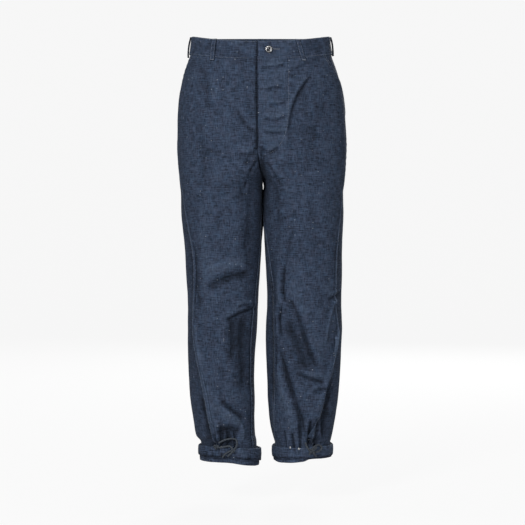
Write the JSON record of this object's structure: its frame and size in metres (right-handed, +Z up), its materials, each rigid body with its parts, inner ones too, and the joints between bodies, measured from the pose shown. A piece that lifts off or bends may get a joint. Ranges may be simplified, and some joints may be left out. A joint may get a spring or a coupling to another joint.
{
  "type": "trousers",
  "caption": "Straight-legged woven trousers in worn shape, with a button fly, slant pockets, belt loops and rolled cuffs tied with hem drawcords.",
  "frame": {"origin": "middle of the waist opening, at half the height of the waistband's sides", "axes": "+Z up along the standing wearer, -Y the front, +X the wearer's left"},
  "size_m": [0.3813, 0.2592, 0.9747],
  "materials": {
    "cloth": "matt indigo plain weave with slubs and neps",
    "drawcord": "matt grey-green cotton cord",
    "button_metal": "dark burnished metal, worn brighter on its rim"
  },
  "bodies": {
    "root": {"front_left": "cloth", "front_right": "cloth", "back_left": "cloth", "back_right": "cloth", "pocket_facing_left": "cloth", "pocket_facing_right": "cloth", "fly_stand": "cloth", "waistband_left": "cloth", "waistband_right": "cloth", "loop_front_left": "cloth", "loop_front_right": "cloth", "loop_side_left": "cloth", "loop_side_right": "cloth", "loop_back_left": "cloth", "loop_back_right": "cloth", "loop_back_centre": "cloth", "waistband_button": "button_metal", "cuff_left_inner": "cloth", "cuff_left_outer": "cloth", "cuff_right_inner": "cloth", "cuff_right_outer": "cloth", "tie_cord_left": "drawcord", "tie_cord_right": "drawcord"}
  },
  "joints": []
}
